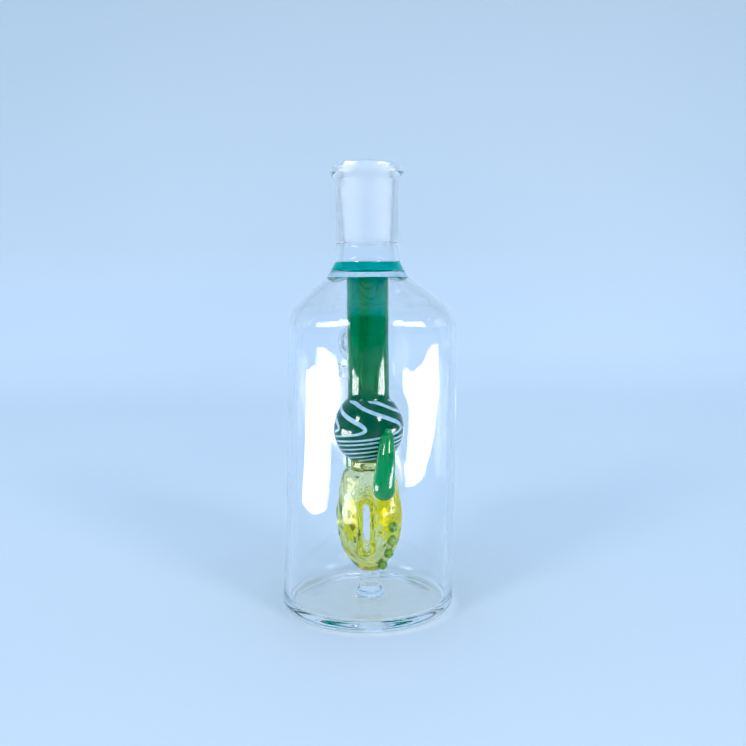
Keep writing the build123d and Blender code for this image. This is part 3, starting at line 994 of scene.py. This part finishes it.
def make_egg():
    """A hollow egg of yellow glass with a slot pressed through it and gas outlets low in its back."""
    wall = slot_bar("slot_wall", SLOT_WIDTH + 2 * SLOT_WALL, SLOT_HEIGHT + 2 * SLOT_WALL, 2 * EGG_R)
    side = [(r, z, 0, "egg_bulb") for r, z in egg_profile(0, 0)[::-1]]
    whole = [(0, EGG_FOOT, 0, "egg_bulb")] + side + [(0, EGG_TOP, 0, "egg_bulb")]
    envelope = lathe("envelope", whole, ["egg_bulb"])
    combine(wall, envelope, "INTERSECT")
    egg = egg_lathe()
    combine(egg, wall, "UNION")
    combine(egg, slot_bar("slot", SLOT_WIDTH, SLOT_HEIGHT, 2 * EGG_R), "DIFFERENCE")
    for azimuth in OUTLET_AZIMUTHS:
        combine(egg, outlet_drill(math.radians(azimuth)), "DIFFERENCE")
    melt(egg, MELT_CELL, MELT_ROUNDS)
    hand_made(egg, lean=False, depth=EGG_WAVE_DEPTH, size=EGG_WAVE_SIZE)
    egg.name = "egg_bulb"
    give(egg, "yellow_glass", "yellow_glass", "egg_bulb", "egg_tunnel", "egg_neck")


def melt(obj, cell, rounds):
    """Rebuilds a surface in small even cells and smooths it, which rounds its edges."""
    remesh = obj.modifiers.new("remesh", "REMESH")
    remesh.mode = "VOXEL"
    remesh.voxel_size = cell
    smooth = obj.modifiers.new("smooth", "SMOOTH")
    smooth.factor = 0.5
    smooth.iterations = rounds
    graph = bpy.context.evaluated_depsgraph_get()
    data = bpy.data.meshes.new_from_object(obj.evaluated_get(graph))
    obj.modifiers.clear()
    obj.data = data
    obj.data.shade_smooth()


def egg_radius(z):
    """The bulb's outer radius at a height."""
    points = egg_profile(0, 0)
    for (r0, z0), (r1, z1) in zip(points, points[1:]):
        if z1 <= z <= z0:
            return r0 + (r1 - r0) * (z0 - z) / (z0 - z1)
    return EGG_R


def make_dots(node, turn):
    """A row of small domed dots down the bulb."""
    lo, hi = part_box(node)
    step = (hi.z - lo.z - 2 * DOT_R) / (DOT_COUNT - 1)
    mesh = bmesh.new()
    for i in range(DOT_COUNT):
        z = lo.z + DOT_R + i * step
        reach = egg_radius(z) - DOT_SINK
        place = Matrix.Translation(Matrix.Rotation(turn, 4, "Z") @ Vector((reach, 0, z)))
        bmesh.ops.create_uvsphere(mesh, u_segments=28, v_segments=18, radius=DOT_R, matrix=place)
    for face in mesh.faces:
        face.smooth = True
    dots = finished(node, mesh, [node])
    give(dots, "dot_glass", "dot_glass", node)


# ---------------------------------------------------------------- horns
# The front horn from its tip to its blunt end: places in the frame and the radius there, all in mm
HORN_ROUTE = [
    (4.95, -7.9, 48.8, 1.15),
    (4.9, -8.6, 47.9, 1.75),
    (4.65, -9.6, 45.1, 2.15),
    (4.5, -10.3, 42.5, 2.4),
    (4.25, -10.8, 39.2, 2.65),
    (3.95, -11.0, 35.8, 2.9),
    (3.9, -11.0, 34.2, 2.95),
]


def horn_rows():
    """Centres and radii along the front horn, from the tip's pole to the blunt end's, round at both."""
    route = [(p.xyz * MM, p.w * MM) for p in smooth_route(HORN_ROUTE, 5)]
    cap_steps = 7
    rows = []
    for (centre, radius), end in ((route[0], 1), (route[-1], -1)):
        cap = []
        for i in range(cap_steps):
            a = math.pi / 2 * i / cap_steps
            cap.append((centre + Vector((0, 0, end * radius * math.cos(a))), radius * math.sin(a)))
        rows.append(cap)
    return rows[0] + route + rows[1][::-1]


def make_horn(name, turn):
    """A bent finger of green glass that hangs from the ball."""
    mesh = bmesh.new()
    sides = 32
    rings = []
    for centre, radius in horn_rows():
        ring = []
        for k in range(sides if radius else 1):
            a = 2 * math.pi * k / sides
            ring.append(mesh.verts.new(centre + Vector((math.cos(a), math.sin(a), 0)) * radius))
        rings.append(ring)
    for lower, upper in zip(rings[1:-1], rings[2:-1]):
        join_rings(mesh, lower, upper)
    for pole, ring in ((rings[0][0], rings[1]), (rings[-1][0], rings[-2])):
        for k in range(sides):
            mesh.faces.new((ring[k], ring[(k + 1) % sides], pole)).smooth = True
    horn = finished(name, mesh, [name])
    horn.data.transform(Matrix.Rotation(turn, 4, "Z"))
    give(horn, "horn_glass", "horn_glass", name)


# ---------------------------------------------------------------- studio
def paint_light_falloff(tree, principled):
    """Paints light and shade into the backdrop: a painted brightening at its foot and a painted shade that
    deepens above.
    """
    levels = [(0.0, 0.97), (0.03, 1.0), (0.12, 0.86), (0.36, 0.70)]
    shade = colour_ramp(tree, height_in_place(tree), [(place, (level,) * 3) for place, level in levels])
    paper = principled.inputs["Base Color"].links[0].from_socket
    tree.links.new(multiply(tree, paper, shade), principled.inputs["Base Color"])


def paint_floor_glow(tree, principled):
    """Paints light into the floor: a faint glow all over, as of a lit table, and a stronger painted glow
    under the bottle that lifts the shade there.
    """
    coords = add(tree, "ShaderNodeTexCoord")
    reach = add(tree, "ShaderNodeVectorMath", operation="LENGTH")
    glow = add(tree, "ShaderNodeMapRange", interpolation_type="SMOOTHSTEP")
    glow.inputs["From Min"].default_value = 0.94 * BODY_R
    glow.inputs["From Max"].default_value = 1.10 * BODY_R
    glow.inputs["To Min"].default_value = 1.9
    glow.inputs["To Max"].default_value = 1.0
    tree.links.new(coords.outputs["Object"], reach.inputs[0])
    tree.links.new(reach.outputs["Value"], glow.inputs["Value"])
    tree.links.new(glow.outputs["Result"], principled.inputs["Emission Strength"])


def make_stage():
    """A pale sweep: a floor that curves up into a backdrop."""
    half_width = 3.0
    drop = 0.05 * MM
    front, bend, radius, height = -3.0, 0.40, 0.12, 2.4
    bend_steps = 12
    section = [(front, -drop), (bend, -drop)]
    for i in range(1, bend_steps + 1):
        a = math.pi / 2 * i / bend_steps
        section.append((bend + radius * math.sin(a), radius * (1 - math.cos(a)) - drop))
    section.append((bend + radius, height))
    mesh = bmesh.new()
    left = [mesh.verts.new((-half_width, y, z)) for y, z in section]
    right = [mesh.verts.new((half_width, y, z)) for y, z in section]
    for k in range(len(section) - 1):
        mesh.faces.new((left[k], left[k + 1], right[k + 1], right[k])).smooth = True
    sweep_obj = finished("sweep", mesh, ["stage"])
    # The paper's emission is painted light: the floor glows, though it is no lamp.
    material, tree, principled = shader(
        "stage_paper", Roughness=0.65, Emission_Color=(0.17, 0.20, 0.22, 1))
    paint_floor_glow(tree, principled)
    clouds = place_texture(tree, "ShaderNodeTexNoise", 2.2, 2.0)
    tint(tree, principled, clouds, (0.55, 0.64, 0.70), (0.63, 0.70, 0.74), 0.3, 0.7)
    paint_light_falloff(tree, principled)
    sweep_obj.data.materials.clear()
    sweep_obj.data.materials.append(material)


def area_light(name, place, target, side, power):
    """A square lamp that faces a target, unseen by the camera."""
    data = bpy.data.lights.new(name, "AREA")
    data.shape = "SQUARE"
    data.size = side
    data.energy = power
    lamp = bpy.data.objects.new(name, data)
    lamp.location = place
    direction = Vector(target) - Vector(place)
    lamp.rotation_euler = direction.to_track_quat("-Z", "Y").to_euler()
    lamp.visible_camera = False
    bpy.context.scene.collection.objects.link(lamp)


# The cards on the floor beside the bottle: corners as degrees from the front and metres away
CARD_LEFT = [(60, 0.14), (98, 0.15), (96, 0.72), (82, 0.74), (76, 0.62), (52, 0.58), (54, 0.40)]
CARD_RIGHT = [(46, 0.17), (66, 0.17), (100, 0.42), (97, 0.78), (84, 0.78), (62, 0.60), (52, 0.42)]


def make_card(name, side, plan):
    """A bright card that lights the bottle's walls from the floor and shines upward only."""
    mesh = bmesh.new()
    ring = []
    for azimuth, reach in plan:
        a = math.radians(azimuth)
        ring.append(mesh.verts.new((side * reach * math.sin(a), -reach * math.cos(a), CARD_HEIGHT)))
    mesh.faces.new(ring)
    card = finished(name, mesh, ["stage"])
    if card.data.polygons[0].normal.z < 0:
        card.data.flip_normals()
    material, tree, principled = shader(
        "card_light", Base_Color=(0.8, 0.8, 0.8, 1), Emission_Color=(1, 1, 1, 1))
    side_seen = add(tree, "ShaderNodeNewGeometry")
    upward_only = add(tree, "ShaderNodeMapRange")
    upward_only.inputs["To Min"].default_value = CARD_GLOW
    upward_only.inputs["To Max"].default_value = 0.0
    tree.links.new(side_seen.outputs["Backfacing"], upward_only.inputs["Value"])
    tree.links.new(upward_only.outputs["Result"], principled.inputs["Emission Strength"])
    card.data.materials.clear()
    card.data.materials.append(material)
    card.visible_camera = False
    card.visible_diffuse = False
    card.visible_shadow = False


def make_lights():
    """A small soft box on each side of the front, a wide one overhead, the cards and the room."""
    middle = 0.06
    azimuth = math.radians(41)
    distance, rise = 0.9, 0.52
    for side, name in ((-1, "box_left"), (1, "box_right")):
        place = (side * distance * math.sin(azimuth), -distance * math.cos(azimuth), middle + rise)
        area_light(name, place, (0, 0, middle), side=0.22, power=2.4)
    area_light("overhead", (0, -0.3, 1.6), (0, -0.3, 0), side=1.6, power=1.6)
    make_card("card_left", -1, CARD_LEFT)
    make_card("card_right", 1, CARD_RIGHT)
    make_room()


def make_room():
    """The room's soft blue light, a little dimmer to the left and right."""
    world = bpy.data.worlds.new("studio")
    world.use_nodes = True
    tree = world.node_tree
    coords = add(tree, "ShaderNodeTexCoord")
    split = add(tree, "ShaderNodeSeparateXYZ")
    sideways = add(tree, "ShaderNodeMath", operation="ABSOLUTE")
    tree.links.new(coords.outputs["Generated"], split.inputs["Vector"])
    tree.links.new(split.outputs["X"], sideways.inputs[0])
    shades = [(0.60, (0.38, 0.54, 0.86)), (0.95, (0.30, 0.47, 0.80))]
    light = colour_ramp(tree, sideways.outputs["Value"], shades)
    tree.links.new(light, tree.nodes["Background"].inputs["Color"])
    bpy.context.scene.world = world


def make_camera():
    """Level with the bottle's shoulder and close to it: the floor shows, and the mouth is seen from below."""
    distance = 0.235
    height = 0.0891
    aside = 1.4 * MM
    look_down = math.radians(6.17)
    pitch = math.radians(3.0)
    roll = math.radians(0.45)
    data = bpy.data.cameras.new("camera")
    data.sensor_width = 36.0
    data.lens = 41.50134
    data.shift_y = -data.lens / data.sensor_width * math.tan(look_down - pitch)
    data.clip_start = 0.01
    camera = bpy.data.objects.new("camera", data)
    camera.location = (aside, -distance, height)
    tilt = Matrix.Rotation(math.pi / 2 - pitch, 3, "X")
    camera.rotation_euler = (tilt @ Matrix.Rotation(-roll, 3, "Z")).to_euler()
    bpy.context.scene.collection.objects.link(camera)
    bpy.context.scene.camera = camera


def set_picture():
    """Plain colours over a set black, and light paths long enough for thick glass."""
    scene = bpy.context.scene
    scene.view_settings.view_transform = "Standard"
    scene.view_settings.use_curve_mapping = True
    scene.view_settings.curve_mapping.black_level = PICTURE_BLACK
    scene.view_settings.curve_mapping.update()
    scene.cycles.max_bounces = LIGHT_BOUNCES
    scene.cycles.transmission_bounces = LIGHT_BOUNCES
    scene.cycles.glossy_bounces = LIGHT_BOUNCES
    scene.cycles.transparent_max_bounces = CLEAR_BOUNCES
    scene.cycles.use_denoising = True


make_camera()
make_stage()
make_lights()
set_picture()
make_bottle()
make_tube_and_ball()
make_seal_ring()
make_stringers()
make_egg()
make_dots("egg_dots_front", DOT_AZIMUTH - math.pi / 2)
make_dots("egg_dots_rear", DOT_AZIMUTH + math.pi / 2)
make_horn("horn_front", 0)
make_horn("horn_rear", math.pi)
